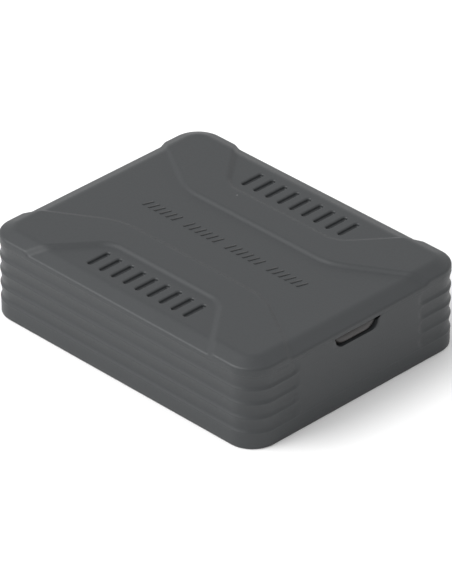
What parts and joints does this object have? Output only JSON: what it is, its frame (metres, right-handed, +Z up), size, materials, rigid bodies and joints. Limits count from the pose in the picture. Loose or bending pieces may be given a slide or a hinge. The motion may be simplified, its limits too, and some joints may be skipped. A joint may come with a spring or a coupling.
{
  "type": "vehicle position tracker",
  "caption": "Low rectangular black plastic case with ribbed walls and a relief-patterned screw-on cover, holding a satellite-positioning and cellular tracker circuit.",
  "frame": {"origin": "centre of the flat underside", "axes": "+X along the case towards the end with the cable slot, +Z up through the cover"},
  "size_m": [0.1, 0.0784, 0.0262],
  "materials": {
    "casing_plastic": "fine spark-eroded texture, satin on the walls",
    "screw_steel": "zinc-plated",
    "board_laminate": "solder mask over glass laminate",
    "patch_ceramic": "unglazed",
    "patch_silver": "fired silver, satin",
    "shield_tin": "tinned sheet, satin",
    "chip_epoxy": "moulded epoxy",
    "capacitor_can": "drawn can, satin",
    "tantalum_case": "moulded epoxy",
    "fuse_case": "smooth",
    "led_lens": "clear epoxy",
    "antenna_film": "copper under polyimide film",
    "contact_gold": "gold flash",
    "cable_black": "smooth jacket",
    "wire_red": "smooth jacket",
    "connector_black": "glass-filled nylon",
    "connector_white": "natural nylon",
    "plunger_ivory": "acetal",
    "card_plastic": "satin card",
    "pack_wrap": "laminated pouch film",
    "foam_tape": "double-sided foam",
    "plug_rubber": "soft black rubber, satin"
  },
  "bodies": {
    "base": {"base_shell": "casing_plastic", "main_board": "board_laminate", "cover_screw_1": "screw_steel", "board_screw_1": "screw_steel", "cover_screw_2": "screw_steel", "board_screw_2": "screw_steel", "cover_screw_3": "screw_steel", "board_screw_3": "screw_steel", "cover_screw_4": "screw_steel", "board_screw_4": "screw_steel", "gnss_receiver": "shield_tin", "microcontroller": "chip_epoxy", "flash_chip": "chip_epoxy", "accelerometer": "chip_epoxy", "crystal": "shield_tin", "power_inductor_1": "chip_epoxy", "power_inductor_2": "chip_epoxy", "tantalum_capacitor": "tantalum_case", "input_fuse": "fuse_case", "surge_diode": "chip_epoxy", "status_led_1": "led_lens", "status_led_2": "led_lens", "status_led_3": "led_lens", "gnss_patch": "patch_ceramic", "gnss_patch_face": "patch_silver", "modem_board": "board_laminate", "modem_shield": "shield_tin", "cellular_antenna": "antenna_film", "antenna_connector": "contact_gold", "antenna_plug": "contact_gold", "antenna_coax": "cable_black", "input_capacitor_1": "capacitor_can", "input_capacitor_2": "capacitor_can", "harness_header": "connector_black", "harness_pins": "contact_gold", "sim_socket": "shield_tin", "tamper_switch": "connector_black", "battery_switch": "shield_tin", "backup_battery": "pack_wrap", "battery_pad": "foam_tape", "battery_socket": "connector_white", "battery_plug": "connector_white", "battery_lead_red": "wire_red", "battery_lead_black": "cable_black", "slot_plug": "plug_rubber"},
    "cover": {"top_cover": "casing_plastic"},
    "sim_drawer": {"sim_tray": "connector_black", "sim_card": "card_plastic"},
    "switch_knob": {"switch_slider": "connector_black"},
    "tamper_pin": {"tamper_plunger": "plunger_ivory"}
  },
  "joints": [
    {"name": "cover_lift", "type": "slide", "parent": "base", "child": "cover", "axis": [0, 0, 1], "range_m": [0, 0.04]},
    {"name": "sim_tray_slide", "type": "slide", "parent": "base", "child": "sim_drawer", "axis": [1, 0, 0], "range_m": [0, 0.013]},
    {"name": "battery_switch_slide", "type": "slide", "parent": "base", "child": "switch_knob", "axis": [1, 0, 0], "range_m": [0, 0.002]},
    {"name": "tamper_plunger_press", "type": "slide", "parent": "base", "child": "tamper_pin", "axis": [0, 0, -1], "range_m": [0, 0.0008], "stiffness_N_per_m": 200, "springref_m": -0.002}
  ]
}
